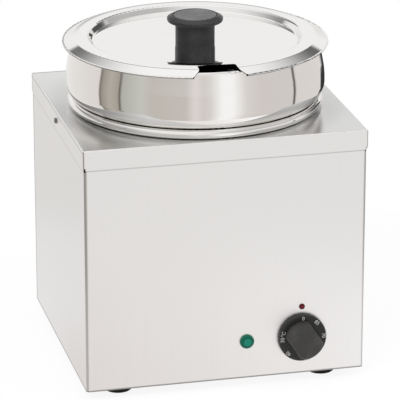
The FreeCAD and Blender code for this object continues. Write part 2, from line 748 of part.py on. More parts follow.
def supply():
    """The cable gland in the rear panel, the terminal block and the earth stud."""
    x, y = TERMINAL_AT
    half_w, half_d = TERMINAL_W / 2, TERMINAL_D / 2
    terminal = block(x - half_w, x + half_w, y - half_d, y + half_d, BASE_TOP, BASE_TOP + TERMINAL_H)
    terminal = terminal.cut([drill(M3_R + HOLE_FIT, V(sx, sy, BASE_TOP), Z, 2 * TERMINAL_H)
                             for sx, sy in terminal_screw_places()])
    stud = earth_place()
    lug_top = stud + V(0, 0, SHEET)
    barrel_r = WIRE_R + SHEET / 2
    tongue = block(stud.x - M4_R, stud.x + M4_R, stud.y, stud.y + LUG_TONGUE_L, BASE_TOP, BASE_TOP + SHEET)
    barrel = rod(barrel_r, V(stud.x, stud.y + LUG_TONGUE_L - SHEET, BASE_TOP + barrel_r), Y, LUG_TONGUE_L)
    lug = united([rod(LUG_R, stud, Z, SHEET), tongue, barrel])
    parts = {
        "terminal_block": terminal,
        "terminal_screws": [screw(V(sx, sy, BASE_TOP + TERMINAL_H), -Z, M3_R, TERMINAL_H + SHEET)
                            for sx, sy in terminal_screw_places()],
        "earth_stud": rod(M4_R, stud, Z, EARTH_STUD_L),
        "earth_lug": lug.cut(rod(M4_R + HOLE_FIT, stud, Z, EARTH_STUD_L)),
        "earth_nut": hex_nut(lug_top, Z, M4_R),
    }
    parts.update(cable_gland())
    return parts


def earth_lug_end():
    stud = earth_place()
    return V(stud.x, stud.y + 2 * LUG_TONGUE_L - SHEET, BASE_TOP + WIRE_R + SHEET / 2)


def cable_gland():
    """A gland with its hexagon and dome outside the panel and its locknut inside."""
    face = V(GLAND_X, REAR_Y, GLAND_Z)
    seal_r = GLAND_BORE_R + GLAND_SEAL_WALL
    grip_l = GLAND_DOME_L / 2
    body = placed(hex_prism(GLAND_HEX, GLAND_HEX_T), face, Y)
    thread = rod(GLAND_THREAD_R, face - Y * GLAND_INSIDE, Y, GLAND_INSIDE + GLAND_HEX_T + grip_l)
    neck_bore = drill(GLAND_BORE_R, face, Y, 2 * GLAND_INSIDE)
    seal_start = face + Y * GLAND_HEX_T
    seal_bore = rod(seal_r + HOLE_FIT, seal_start, Y, GLAND_DOME_L)
    dome_r = GLAND_THREAD_R + GLAND_DOME_WALL
    outline = [(0, 0), (dome_r, 0), (dome_r, GLAND_DOME_L), (0, GLAND_DOME_L)]
    dome = turned_solid(outline, [0, GLAND_DOME_EDGE_R])
    dome = placed(dome, seal_start, Y)
    dome = dome.cut([rod(GLAND_THREAD_R + HOLE_FIT, seal_start, Y, grip_l + HOLE_FIT),
                     rod(seal_r + HOLE_FIT, seal_start, Y, GLAND_DOME_L)])
    seal = rod(seal_r, seal_start, Y, GLAND_DOME_L)
    seal = seal.cut(rod(GLAND_BORE_R, seal_start, Y, GLAND_DOME_L))
    locknut = placed(hex_prism(GLAND_NUT_HEX, GLAND_NUT_T), V(GLAND_X, REAR_Y - SHEET, GLAND_Z), -Y)
    return {
        "gland_body": united([body, thread]).cut([neck_bore, seal_bore]),
        "gland_dome": dome,
        "gland_seal": seal,
        "gland_locknut": locknut.cut(drill(GLAND_THREAD_R + HOLE_FIT, face, Y, GLAND_INSIDE)),
    }


def wiring():
    """The leads between the terminal block, the cut-out, the thermostat, the element and the lamp."""
    earth, live, neutral, lamp_n, lamp_l = terminal_entries()
    pin_a, pin_b = element_pin_places()
    pin_z = element_pin_end()
    (cut_a_x, cut_y), (cut_b_x, _) = cutout_blade_places()
    cut_z = cutout_blade_end()
    (feed_x, t_z), (heat_x, _) = thermostat_blade_places()
    blade_y = THERMOSTAT_BACK + BLADE_L
    lamp_y = FRONT_Y + LAMP_BODY_L + BLADE_L
    lamp_a, lamp_b = lamp_blade_places()
    lug = earth_lug_end()
    step = 3 * WIRE_BEND
    low = cut_z - 2 * step
    routes = {
        "live_wire": [(live.x, live.y, live.z), (live.x, live.y - 2.4 * step, live.z),
                      (cut_a_x, cut_y, low), (cut_a_x, cut_y, cut_z)],
        "cutout_wire": [(cut_b_x, cut_y, cut_z), (cut_b_x, cut_y, cut_z - 1.6 * step),
                        (0, blade_y + 1.2 * step, (cut_z + t_z) / 2), (feed_x, blade_y + 2 * step, t_z),
                        (feed_x, blade_y, t_z)],
        "heater_wire": [(heat_x, blade_y, t_z), (heat_x, blade_y + step, t_z),
                        (pin_a[0], pin_a[1], t_z + step), (pin_a[0], pin_a[1], pin_z)],
        "neutral_wire": [(pin_b[0], pin_b[1], pin_z), (pin_b[0], pin_b[1], pin_z - 1.3 * step),
                         (-step / 2, -step / 2, (pin_z + neutral.z) / 2 - step / 2),
                         (neutral.x, neutral.y - 1.6 * step, neutral.z), (neutral.x, neutral.y, neutral.z)],
        "earth_wire": [(earth.x, earth.y, earth.z), (earth.x, earth.y - step / 2, earth.z),
                       (lug.x, lug.y + step / 2, lug.z), (lug.x, lug.y, lug.z)],
    }
    parts = {name: tube(points, WIRE_R, WIRE_BEND) for name, points in routes.items()}
    lamp_leads = [
        [(lamp_b, lamp_y, CONTROL_Z), (lamp_b, lamp_y + step, CONTROL_Z),
         (lamp_b - step, lamp_y + 3 * step, lamp_l.z), (lamp_l.x, lamp_l.y - 1.2 * step, lamp_l.z),
         (lamp_l.x, lamp_l.y, lamp_l.z)],
        [(lamp_a, lamp_y, CONTROL_Z), (lamp_a, lamp_y + step, CONTROL_Z),
         (lamp_a - step, lamp_y + 2.8 * step, lamp_n.z), (lamp_n.x, lamp_n.y - 1.4 * step, lamp_n.z),
         (lamp_n.x, lamp_n.y, lamp_n.z)],
    ]
    parts["lamp_wires"] = [tube(points, WIRE_R, WIRE_BEND) for points in lamp_leads]
    return parts


# Dial

def dial():
    """The dial with its numbered skirt and bar grip, on the thermostat's spindle."""
    skirt_front = DIAL_GAP + SKIRT_T
    shoulder = skirt_front - SKIRT_BEVEL
    outline = [(0, DIAL_GAP), (DIAL_R, DIAL_GAP), (DIAL_R, shoulder), (DIAL_R - SKIRT_BEVEL, skirt_front),
               (0, skirt_front)]
    skirt = turned_solid(outline, [0, SKIRT_EDGE_R, SKIRT_EDGE_R])
    hollow = rod(DIAL_R - SKIRT_WALL, V(0, 0, 0), Z, DIAL_GAP + SKIRT_HOLLOW)
    hub = rod(HUB_R, V(0, 0, DIAL_GAP), Z, SKIRT_T)
    knob = united([skirt.cut(hollow), hub, grip(skirt_front)])
    insert_r = SHAFT_R + DIAL_INSERT_WALL
    insert_end = DIAL_GAP + DIAL_INSERT_L
    knob = knob.cut(rod(insert_r, V(0, 0, 0), Z, insert_end))
    insert = rod(insert_r, V(0, 0, DIAL_GAP), Z, DIAL_INSERT_L)
    insert = insert.cut(rod(SHAFT_R, V(0, 0, 0), Z, insert_end))
    face = V(DIAL_X, FRONT_Y, CONTROL_Z)
    turn = FreeCAD.Placement(face, FreeCAD.Rotation(X, 90))
    knob.Placement = turn
    insert.Placement = turn
    shaft = rod(SHAFT_R, face + Y * SHAFT_INSIDE, -Y, SHAFT_INSIDE + insert_end)
    return {"dial_knob": knob, "dial_insert": insert, "thermostat_shaft": shaft}


def grip_outline(share, z):
    """A bar with round ends, its two sides flat."""
    half_w = share * GRIP_W / 2
    end_r = share * GRIP_L / 2
    half_l = math.sqrt(end_r ** 2 - half_w ** 2)
    right_foot, right_top = V(half_w, -half_l, z), V(half_w, half_l, z)
    left_top, left_foot = V(-half_w, half_l, z), V(-half_w, -half_l, z)
    return Part.Wire([
        Part.LineSegment(right_foot, right_top).toShape(),
        Part.Arc(right_top, V(0, end_r, z), left_top).toShape(),
        Part.LineSegment(left_top, left_foot).toShape(),
        Part.Arc(left_foot, V(0, -end_r, z), right_foot).toShape(),
    ])


def grip(skirt_front):
    top = skirt_front + GRIP_H
    sections = [grip_outline(1.0, skirt_front - SKIRT_BEVEL), grip_outline(GRIP_TOP_SHARE, top)]
    bar = Part.makeLoft(sections, True, True)
    bar = bar.makeFillet(GRIP_EDGE_R, [e for e in bar.Edges if e.BoundBox.ZMin > top - SKIRT_BEVEL])
    bar.rotate(V(0, 0, 0), Z, GRIP_TURN)
    return bar


# Pot and lid

def pot_seat_point(radius):
    """The point at a radius on the middle of the pot's sloped seat, over the basin's rolled rim."""
    lift = CURL_R + SEAT_GAP + POT_SHEET / 2
    touch_r = CURL_MEAN_R - lift * math.sin(SEAT_SLOPE)
    touch_z = CURL_Z + lift * math.cos(SEAT_SLOPE)
    return (radius, touch_z + (radius - touch_r) * math.tan(SEAT_SLOPE))


def soup_pot():
    """A pot with a straight lower wall, a sloped seat, a round belly and a beaded rim."""
    half = POT_SHEET / 2
    low_r = BASIN_R - WATER_GAP - half
    belly_r = POT_BELLY_R - half
    floor = BASIN_FLOOR + WATER_DEPTH + half
    belly_foot = pot_seat_point(belly_r)
    bead_z = RIM_Z - RIM_BEAD_R
    path = [(0, floor), (low_r, floor), pot_seat_point(low_r), belly_foot,
            (belly_r, COVER_Z + BELLY_H), (POT_NECK_R - half, bead_z)]
    wall = turned_sheet(path, [POT_BASE_R, SEAT_INNER_R, SEAT_OUTER_R, BELLY_R], POT_SHEET)
    return united([wall, ring(POT_NECK_R, bead_z, RIM_BEAD_R)])


def lid_levels():
    """The middle heights of the lid's rim and disc: its slope lies just clear of the pot's bead."""
    slope = math.atan2(LID_SLOPE_DROP, LID_SLOPE_W)
    clear = (RIM_BEAD_R + LID_SEAT_GAP + LID_SHEET / 2) / math.cos(slope)
    rim = RIM_Z - RIM_BEAD_R + clear + (POT_NECK_R - LID_FOLD_AT) * math.tan(slope)
    return rim, rim - LID_RECESS


def lid_disc_top():
    return lid_levels()[1] + LID_SHEET / 2


def lid():
    """A lid with a sunk disc, a flat rim and a sloped edge, notched at the front for a ladle."""
    rim, disc = lid_levels()
    edge_r = LID_R - LID_EDGE_R
    step_r = LID_FOLD_AT - LID_RIM_W
    path = [(0, disc), (step_r - LID_STEP_W, disc), (step_r, rim), (LID_FOLD_AT, rim),
            (edge_r, rim - LID_SLOPE_DROP)]
    sheet = turned_sheet(path, [LID_FOLD_R] * 3, LID_SHEET)
    whole = united([sheet, ring(edge_r, rim - LID_SLOPE_DROP, LID_EDGE_R)])
    bolt_hole = rod(M5_R + HOLE_FIT, V(0, 0, disc - LID_RECESS), Z, 2 * LID_RECESS)
    return whole.cut([bolt_hole, ladle_notch(rim)])


def ladle_notch(rim):
    """A cutter open at the lid's edge, with its mouth flared wider than its throat."""
    throat = LID_FOLD_AT - NOTCH_DEPTH
    half = NOTCH_W / 2
    mouth = NOTCH_MOUTH_W / 2
    past = LID_R + LID_EDGE_R
    corners = [(-half, -throat), (-half, -LID_FOLD_AT), (-mouth, -past),
               (mouth, -past), (half, -LID_FOLD_AT), (half, -throat)]
    radii = [NOTCH_CORNER_R, NOTCH_FLARE_R, 0, 0, NOTCH_FLARE_R, NOTCH_CORNER_R]
    cutter = prism(corners, radii, rim - 2 * LID_RECESS, rim + 2 * LID_RECESS)
    cutter.rotate(V(0, 0, 0), Z, math.degrees(NOTCH_TURN))
    return cutter


def lid_knob():
    """A spool-shaped knob with a disc let into its top, bolted through the lid from below."""
    base = lid_disc_top()
    top = base + KNOB_H
    cap_under = top - KNOB_CAP_H
    bevel_z = top - KNOB_TOP_DROP
    outline = [(0, base), (KNOB_WAIST_R, base), (KNOB_WAIST_R, cap_under), (KNOB_R, cap_under),
               (KNOB_R, bevel_z), (KNOB_R - KNOB_TOP_BEVEL, top), (0, top)]
    body = turned_solid(outline, [0, KNOB_NECK_R, KNOB_EDGE_R, KNOB_RIM_R, KNOB_RIM_R])
    disc_floor = top - KNOB_DISC_T
    body = body.cut([rod(KNOB_DISC_R + KNOB_GROOVE, V(0, 0, disc_floor), Z, KNOB_DISC_T),
                     rod(INSERT_R, V(0, 0, base), Z, INSERT_H)])
    disc = rod(KNOB_DISC_R, V(0, 0, disc_floor), Z, KNOB_DISC_T)
    disc = disc.makeFillet(KNOB_GROOVE, [e for e in disc.Edges if e.BoundBox.ZMin > top - KNOB_GROOVE])
    insert = rod(INSERT_R, V(0, 0, base), Z, INSERT_H)
    insert = insert.cut(rod(M5_R + HOLE_FIT, V(0, 0, base), Z, INSERT_H))
    seat = V(0, 0, base - LID_SHEET - SHEET)
    washer = rod(WASHER_R, seat, Z, SHEET).cut(rod(M5_R + HOLE_FIT, seat, Z, SHEET))
    return {
        "lid_knob": body,
        "lid_knob_disc": disc,
        "lid_knob_insert": insert,
        "lid_washer": washer,
        "lid_screw": screw(seat, Z, M5_R, SHEET + LID_SHEET + BOLT_BITE),
    }


def build():
    parts = {
        "casing_shell": casing_shell(),
        "rear_panel": rear_panel(),
        "top_cover": top_cover(),
        "water_basin": water_basin(),
        "base_plate": base_plate(),
        "soup_pot": soup_pot(),
        "lid": lid(),
    }
    for name, (x, y) in foot_places().items():
        parts[name] = foot(x, y)
    for group in (casing_fasteners, heater, thermostat, overheat_cutout, pilot_lamp, index_lamp,
                  supply, wiring, dial, lid_knob):
        parts.update(group())
    return parts


def main():
    os.makedirs("parts", exist_ok=True)
    for name, shape in build().items():
        whole = Part.makeCompound(shape) if isinstance(shape, list) else shape
        whole.exportStep(os.path.join("parts", name + ".step"))
        print(f"{name:20s} solids {len(whole.Solids)} valid {whole.isValid()} volume {whole.Volume:10.1f}")


main()
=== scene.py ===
"""Looks of the soup kettle: finishes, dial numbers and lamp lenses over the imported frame.

Metres, +X to the right, +Y to the back and +Z up. The origin is on the table under the casing.
"""
import json
import math

import bmesh
import bpy
from mathutils import Matrix, Vector


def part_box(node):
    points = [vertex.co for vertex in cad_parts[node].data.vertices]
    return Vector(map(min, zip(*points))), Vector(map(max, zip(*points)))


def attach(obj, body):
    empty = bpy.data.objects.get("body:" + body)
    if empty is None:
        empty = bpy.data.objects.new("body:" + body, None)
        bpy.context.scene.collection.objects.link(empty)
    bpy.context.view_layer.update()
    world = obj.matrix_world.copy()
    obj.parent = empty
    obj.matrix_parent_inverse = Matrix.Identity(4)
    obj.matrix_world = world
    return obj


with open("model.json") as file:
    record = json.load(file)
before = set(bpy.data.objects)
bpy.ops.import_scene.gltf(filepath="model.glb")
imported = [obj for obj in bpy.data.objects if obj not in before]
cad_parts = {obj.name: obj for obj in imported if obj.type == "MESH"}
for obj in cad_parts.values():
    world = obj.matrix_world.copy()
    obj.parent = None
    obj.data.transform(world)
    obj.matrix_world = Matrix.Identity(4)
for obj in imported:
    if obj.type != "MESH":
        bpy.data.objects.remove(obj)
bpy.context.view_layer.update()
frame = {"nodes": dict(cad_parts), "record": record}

MM = 0.001

# Camera, from the casing's corners in the photograph
CAMERA_AZIMUTH = math.radians(-13.63)
CAMERA_ELEVATION = math.radians(19.48)
CAMERA_DISTANCE = 3068.9 * MM
CAMERA_TARGET = Vector((5.11, 0, 153.54)) * MM
CAMERA_LENS = 270.9
CAMERA_SENSOR = 36.0
CAMERA_REACH = 20.0

# Lamps: place, size and power, all aimed at one point
LAMPS = {
    "key light": ((-1.4, -1.6, 2.2), (1.4, 1.0), 26.0),
    "fill light": ((1.8, -1.0, 1.5), (1.0, 1.4), 10.0),
}
LAMP_AIM = (0, 0, 0.2)

# Floor: what mirrors see of it runs from left to right and, over the next span, to its back
FLOOR_R = 0.46
FLOOR_SPAN_X = (-0.25, 0.35)
FLOOR_SPAN_Y = (-0.1, 0.15)
FLOOR_TONE = 0.86
FLOOR_GLOW = 1.04
FLOOR_GLOW_SHARE = 0.85
FLOOR_LEFT = (0.79, 0.74, 0.72)
FLOOR_RIGHT = (1.04, 1.03, 1.03)
FLOOR_BACK = (0.90, 0.89, 0.89)

# Studio: the level for matt surfaces, then what mirrors show. Each stop is a share of a turn, from the
# back through the left, with the front at a half, and heights are sines of the elevation
AMBIENT = 0.72
ZENITH = 1.0
LOW_STRIPS = [
    (0.000, (0.88, 0.87, 0.86)), (0.180, (0.78, 0.75, 0.73)), (0.203, (0.78, 0.74, 0.72)),
    (0.208, (0.10, 0.09, 0.08)), (0.213, (0.34, 0.31, 0.27)), (0.240, (0.48, 0.45, 0.40)),
    (0.266, (0.40, 0.37, 0.32)), (0.270, (0.08, 0.07, 0.06)), (0.276, (0.48, 0.48, 0.44)),
    (0.330, (0.60, 0.60, 0.56)), (0.360, (0.56, 0.53, 0.49)), (0.440, (0.60, 0.56, 0.53)),
    (0.462, (0.78, 0.73, 0.71)), (0.484, (0.69, 0.65, 0.63)), (0.500, (0.74, 0.71, 0.69)),
    (0.528, (1.00, 1.00, 1.00)), (0.555, (1.00, 1.00, 1.00)), (0.590, (0.74, 0.71, 0.69)),
    (0.630, (0.68, 0.64, 0.62)), (0.728, (0.68, 0.65, 0.63)), (0.731, (0.10, 0.09, 0.09)),
    (0.736, (0.10, 0.09, 0.09)), (0.739, (0.74, 0.71, 0.69)), (0.860, (0.76, 0.72, 0.71)),
    (0.974, (0.86, 0.85, 0.84)), (1.000, (0.88, 0.87, 0.86)),
]
HORIZON = [
    (0.00, 0.93), (0.10, 0.90), (0.16, 0.35), (0.30, 0.40), (0.38, 0.86), (0.50, 0.90), (0.70, 0.88),
    (0.88, 0.93), (1.00, 0.93),
]
DIM_BAND = [
    (0.00, 0.20), (0.10, 0.20), (0.28, 0.60), (0.34, 0.84), (0.48, 0.84), (0.58, 0.50), (0.70, 0.50),
    (0.84, 0.45), (0.88, 0.15), (0.94, 0.13), (1.00, 0.20),
]
CEILING = [
    (0.00, 1.00), (0.20, 0.95), (0.34, 0.90), (0.48, 0.88), (0.60, 0.56), (0.70, 0.56), (0.80, 0.95),
    (1.00, 1.00),
]
# Dark patches: a tone, then where each starts and ends round the turn and in height
DOORWAY = (0.09, (0.76, 0.83), (0.882, 0.872), (-0.05, 0.03), (0.42, 0.34))
PILLAR = (0.04, (0.866, 0.878), (0.974, 0.962), (-1.2, -1.1), (-0.19, -0.235))
# Heights between which one band gives way to the next
LOW_END = (0.05, 0.25)
DIM_START = (0.36, 0.42)
CEILING_START = (0.45, 0.88)
ZENITH_START = (0.84, 0.93)

# Satin sheet: grain lines run upright on the casing and level on the cover
UPRIGHT_GRAIN = (900.0, 900.0, 7.0)
LEVEL_GRAIN = (7.0, 900.0, 900.0)
SATIN_TONE = 0.87
SATIN_ROUGHNESS = 0.34
SATIN_ANISOTROPY = 0.35
GRAIN_STRENGTH = 0.05
GRAIN_DEPTH = 0.2 * MM

# Shares of its tone that the casing loses to painted shade along its bends, bottom hem and rear edges and
# under its lip, and to a painted shadow in the corner reliefs
BEND_SHADE = 0.38
FOOT_HEM_SHADE = 0.62
REAR_EDGE_SHADE = 0.42
SEAM_SHADE = 0.3
SIDE_SEAM_SHADE = 0.14
RELIEF_SHADE = 0.97

# The same for the cover, whose top also takes painted shade round the basin, most at its left
COVER_REAR_SHADE = 0.5
COVER_CORNER_SHADE = 0.4
COVER_SIDE_LINE_SHADE = 0.3
BASIN_SHADE_SPAN_R = (166.0 * MM, 130.0 * MM)
BASIN_SHADE_SPAN_Y = (60.0 * MM, -90.0 * MM)
BASIN_SHADE_REAR = 0.25
BASIN_SHADE_RIGHT = 0.18
BASIN_SHADE_MIDDLE = 0.11
BASIN_SHADE_LEFT = 0.26

# Polished steel, with slow waves in the sheet
POLISHED_TONE = 0.90
POLISHED_ROUGHNESS = 0.04
WAVE_RISE = 0.24 * MM

# Lid: the slight dishing of its disc, the fold of its rim and the notch in its front, and the painted shade
# on its rear rim, its hem and the notch's cut faces
DISH_FROM = 30.0 * MM
DISH_TO = 82.0 * MM
DISH_RISE = 2.2 * MM
RIM_SLOPE = 12.1 * MM
RIM_SHADE = 0.55
HEM_SHADE = 0.6
NOTCH_X = -5.0 * MM
NOTCH_HALF = 36.0 * MM
NOTCH_REACH = 34.0 * MM
NOTCH_SHADE = 0.97

# Moulded plastic: the fine grain of a spark-eroded mould
SPARK_GRAIN = 1800.0
SPARK_DEPTH = 0.3 * MM

# Lamp lenses
PILOT_LENS_R = 7.2 * MM
INDEX_LENS_R = 3.0 * MM
LENS_GROOVE = 0.64
LENS_RIBS = 34.0
LENS_GLOW = 0.12

# Dial
NUMBERS = {0: "0", 42: "85", 86: "70", 130: "60", 170: "50", 225: "40", 270: "30"}
NUMBER_H = 3.8 * MM
NUMBER_R = 21.1 * MM
NUMBER_T = 0.06 * MM
CAPITAL_SHARE = 0.7
SKIRT_FRONT = 6.0 * MM
SKIRT_TONE = 0.45
DEGREE_TURN = 17.0


class Term:
    """A socket whose arithmetic adds Math nodes to its tree."""

    def __init__(self, tree, socket):
        self.tree = tree
        self.socket = socket

    def math(self, operation, *values):
        node = self.tree.nodes.new("ShaderNodeMath")
        node.operation = operation
        for slot, value in zip(node.inputs, values):
            join(self.tree, slot, value)
        return Term(self.tree, node.outputs[0])

    def __add__(self, other):
        return self.math("ADD", self, other)

    def __radd__(self, other):
        return self.math("ADD", other, self)

    def __sub__(self, other):
        return self.math("SUBTRACT", self, other)

    def __rsub__(self, other):
        return self.math("SUBTRACT", other, self)

    def __mul__(self, other):
        return self.math("MULTIPLY", self, other)

    def __rmul__(self, other):
        return self.math("MULTIPLY", other, self)

    def __truediv__(self, other):
        return self.math("DIVIDE", self, other)

    def __abs__(self):
        return self.math("ABSOLUTE", self)


def join(tree, socket, value):
    """Link a term to a socket, or set a plain value on it."""
    if isinstance(value, Term):
        tree.links.new(value.socket, socket)
    else:
        socket.default_value = value


class Tree:
    """A node tree with one method for every node that isn't arithmetic."""

    def __init__(self, tree):
        self.tree = tree

    def node(self, kind, settings, sockets, output=0):
        node = self.tree.nodes.new(kind)
        for name, value in settings.items():
            if name == "stops":
                set_stops(node.color_ramp, value)
            else:
                setattr(node, name, value)
        for name, value in sockets.items():
            join(self.tree, node.inputs[name], value)
        return Term(self.tree, node.outputs[output])

    def ramp(self, value, stops):
        """A colour that runs through the stops as the value goes from 0 to 1."""
        return self.node("ShaderNodeValToRGB", {"stops": stops}, {"Fac": value})

    def blend(self, share, first, second):
        """A colour between two, by a share from 0 to 1."""
        return self.node("ShaderNodeMix", {"data_type": "RGBA"}, {0: share, 6: first, 7: second}, 2)

    def larger(self, *values):
        """The largest of several values."""
        most = values[0]
        for value in values[1:]:
            most = self.node("ShaderNodeMath", {"operation": "MAXIMUM"}, {0: most, 1: value})
        return most

    def between(self, value, low, high, to_low=0.0, to_high=1.0):
        """The value's place between two bounds, eased and held at both ends."""
        sockets = {"Value": value, "From Min": low, "From Max": high, "To Min": to_low, "To Max": to_high}
        return self.node("ShaderNodeMapRange", {"interpolation_type": "SMOOTHSTEP"}, sockets)


def set_stops(ramp, stops):
    while len(ramp.elements) < len(stops):
        ramp.elements.new(1.0)
    for element, (place, colour) in zip(ramp.elements, stops):
        element.position = place
        element.color = colour


def grey(tone):
    return (tone, tone, tone, 1.0)


def solid(red, green, blue):
    return (red, green, blue, 1.0)


class Finish(Tree):
    """A material with one Principled shader, whose constants are set on its own sockets."""

    def __init__(self, name, **constants):
        self.material = bpy.data.materials.new(name)
        self.material.use_nodes = True
        super().__init__(self.material.node_tree)
        self.shader = self.tree.nodes["Principled BSDF"]
        for socket, value in constants.items():
            self.set(socket.replace("_", " "), value)

    def set(self, socket, value):
        join(self.tree, self.shader.inputs[socket], value)

    def place(self):
        return self.node("ShaderNodeTexCoord", {}, {}, "Object")

    def stretched(self, scale, shift=(0, 0, 0)):
        """Object coordinates, scaled by axis, so that a pattern runs long one way."""
        sockets = {"Vector": self.place(), "Scale": scale, "Location": shift}
        return self.node("ShaderNodeMapping", {}, sockets)

    def facing(self):
        """The three parts of the surface's direction."""
        return self.axes(self.node("ShaderNodeNewGeometry", {}, {}, "Normal"))

    def axes(self, vector):
        return [self.node("ShaderNodeSeparateXYZ", {}, {"Vector": vector}, i) for i in range(3)]

    def noise(self, vector, scale, detail=3.0, roughness=0.5):
        sockets = {"Vector": vector, "Scale": scale, "Detail": detail, "Roughness": roughness}
        return self.node("ShaderNodeTexNoise", {}, sockets)

    def bump(self, height, strength, distance):
        sockets = {"Height": height, "Strength": strength, "Distance": distance}
        self.set("Normal", self.node("ShaderNodeBump", {}, sockets))

    def distance(self, one, other):
        """How far a point lies from an axis, by its two parts across that axis."""
        return self.node("ShaderNodeMath", {"operation": "SQRT"}, {0: one * one + other * other})

    def around_axis(self, stretch):
        """Coordinates by radius and height about the pot's axis, so that lines run round it."""
        x, y, z = self.axes(self.place())
        return self.node("ShaderNodeCombineXYZ", {}, {"X": self.distance(x, y) * stretch, "Y": z * stretch})


def satin_grain(finish, grain):
    """Fine grain lines one way, and faint cloudy handling marks."""
    return finish.noise(finish.stretched(grain), 1.0, 4.0, 0.6), finish.noise(finish.place(), 9.0, 2.0)


def steel_tone(finish, shade, green=0.995, blue=0.985):
    finish.set("Base Color", finish.node("ShaderNodeCombineColor", {}, {
        "Red": shade, "Green": shade * green, "Blue": shade * blue}))


def casing_sheet(name):
    """Satin sheet with upright grain, with painted shade along its bends, bottom hem and rear edges and
    under the lip, and a painted shadow in the corner reliefs.
    """
    finish = Finish(name, Metallic=1.0, Anisotropic=SATIN_ANISOTROPY)
    lines, cloud = satin_grain(finish, UPRIGHT_GRAIN)
    x, y, z = finish.axes(finish.place())
    right, back, _ = finish.facing()
    low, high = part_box("casing_shell")
    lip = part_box("top_cover")[0].z
    # Painted shade along the bends, bottom hem and rear edges and under the lip, and a painted shadow in
    # the corner reliefs
    bend = finish.between(abs(right * back), 0.22, 0.42)
    hem = finish.between(z, low.z + 2.0 * MM, low.z + 0.8 * MM)
    rear = finish.between(y, high.y - 5.5 * MM, high.y - 3.0 * MM)
    side = finish.between(abs(right), 0.7, 0.9)
    seam = finish.between(abs(z - lip + 0.6 * MM), 1.2 * MM, 0.4 * MM)
    side_seam = side * finish.between(abs(z - lip + 2.0 * MM), 2.0 * MM, 0.8 * MM)
    corner_x = finish.between(abs(x), high.x - 2.6 * MM, high.x - 1.9 * MM)
    corner_y = finish.between(y, low.y + 2.6 * MM, low.y + 1.9 * MM)
    relief = corner_x * corner_y * finish.between(abs(z - lip), 2.4 * MM, 1.8 * MM)
    dark = finish.larger(BEND_SHADE * bend, FOOT_HEM_SHADE * hem, REAR_EDGE_SHADE * rear, SEAM_SHADE * seam,
                         SIDE_SEAM_SHADE * side_seam, RELIEF_SHADE * relief)
    shade = SATIN_TONE + 0.05 * (lines - 0.5) + 0.05 * (cloud - 0.5)
    steel_tone(finish, shade * (1 - dark))
    finish.set("Roughness", SATIN_ROUGHNESS + 0.10 * (lines - 0.5) + 0.08 * (cloud - 0.5))
    finish.bump(lines, GRAIN_STRENGTH, GRAIN_DEPTH)
    return finish.material


def cover_sheet(name):
    """Satin sheet on the lips, smoother on top, with a painted lift of its top and a painted highlight
    along its bends, and painted shade round the basin, at its corners, rear edge and a line on the side
    lips.
    """
    finish = Finish(name, Metallic=1.0, Anisotropic=SATIN_ANISOTROPY)
    lines, cloud = satin_grain(finish, LEVEL_GRAIN)
    x, y, z = finish.axes(finish.place())
    right, back, up = finish.facing()
    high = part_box("top_cover")[1]
    # Painted shade at the corners, along the rear edge and along a line on the side lips
    corner = finish.between(abs(right * back), 0.15, 0.40)
    top = finish.between(up, 0.85, 0.98)
    lightening = finish.between(up, 0.1, 0.4) * (1 - top)
    rear = finish.between(y, high.y - 4.6 * MM, high.y - 2.6 * MM)
    side = finish.between(abs(right), 0.7, 0.9)
    side_line = side * finish.between(abs(z - high.z + 2.6 * MM), 1.2 * MM, 0.5 * MM)
    # Painted shade on the top round the basin
    basin_shade_share = top * painted_basin_shade(finish, x, y, cloud)
    dark = finish.larger(COVER_REAR_SHADE * rear, COVER_CORNER_SHADE * corner,
                         COVER_SIDE_LINE_SHADE * side_line, basin_shade_share)
    # The top's tone is lifted by a painted 0.03, and the bends between top and lips take a painted
    # highlight
    shade = SATIN_TONE + 0.03 * top + 0.13 * lightening + 0.05 * (lines - 0.5) + 0.05 * (cloud - 0.5)
    steel_tone(finish, shade * (1 - dark))
    finish.set("Roughness", SATIN_ROUGHNESS - 0.12 * top + 0.06 * (lines - 0.5) + 0.05 * (cloud - 0.5))
    finish.bump(lines, GRAIN_STRENGTH, GRAIN_DEPTH)
    return finish.material


def painted_basin_shade(finish, x, y, cloud):
    """How much painted shade the cover's top takes round the basin: most in front and at the left."""
    near = finish.between(finish.distance(x, y) + 0.02 * (cloud - 0.5), *BASIN_SHADE_SPAN_R)
    ahead = finish.between(y, *BASIN_SHADE_SPAN_Y, BASIN_SHADE_REAR)
    middle = finish.between(x, 0.0, -50.0 * MM)
    left = finish.between(x, -92.0 * MM, -130.0 * MM)
    return near * ahead * (BASIN_SHADE_RIGHT + BASIN_SHADE_MIDDLE * middle + BASIN_SHADE_LEFT * left)


def polished_sheet(name, is_lid=False):
    """Mirror-polished stainless: hair lines round the axis, faint wipes and a slow waviness."""
    finish = Finish(name, Metallic=1.0)
    lines = finish.noise(finish.around_axis(1400.0), 1.0, 3.0, 0.6)
    wipes = finish.noise(finish.stretched((14.0, 14.0, 30.0)), 1.0, 3.0, 0.55)
    shade = POLISHED_TONE + 0.03 * (lines - 0.5) + 0.03 * (wipes - 0.5)
    if is_lid:
        # On the lid: painted shade on the notch's cut faces, the bend of its rear rim and the lower half of
        # its hem
        edges = (NOTCH_SHADE * notch_edge(finish), RIM_SHADE * rear_rim(finish), HEM_SHADE * lid_hem(finish))
        shade = shade * (1 - finish.larger(*edges))
    steel_tone(finish, shade, 0.988, 0.972)
    rough = POLISHED_ROUGHNESS + 0.03 * finish.between(wipes, 0.45, 0.75) + 0.02 * (lines - 0.5)
    finish.set("Roughness", rough)
    height = WAVE_RISE * finish.noise(finish.stretched((9.0, 9.0, 5.0)), 1.0, 1.0)
    if is_lid:
        height = height + DISH_RISE * lid_dish(finish)
    finish.bump(height, 1.0, 1.0)
    return finish.material


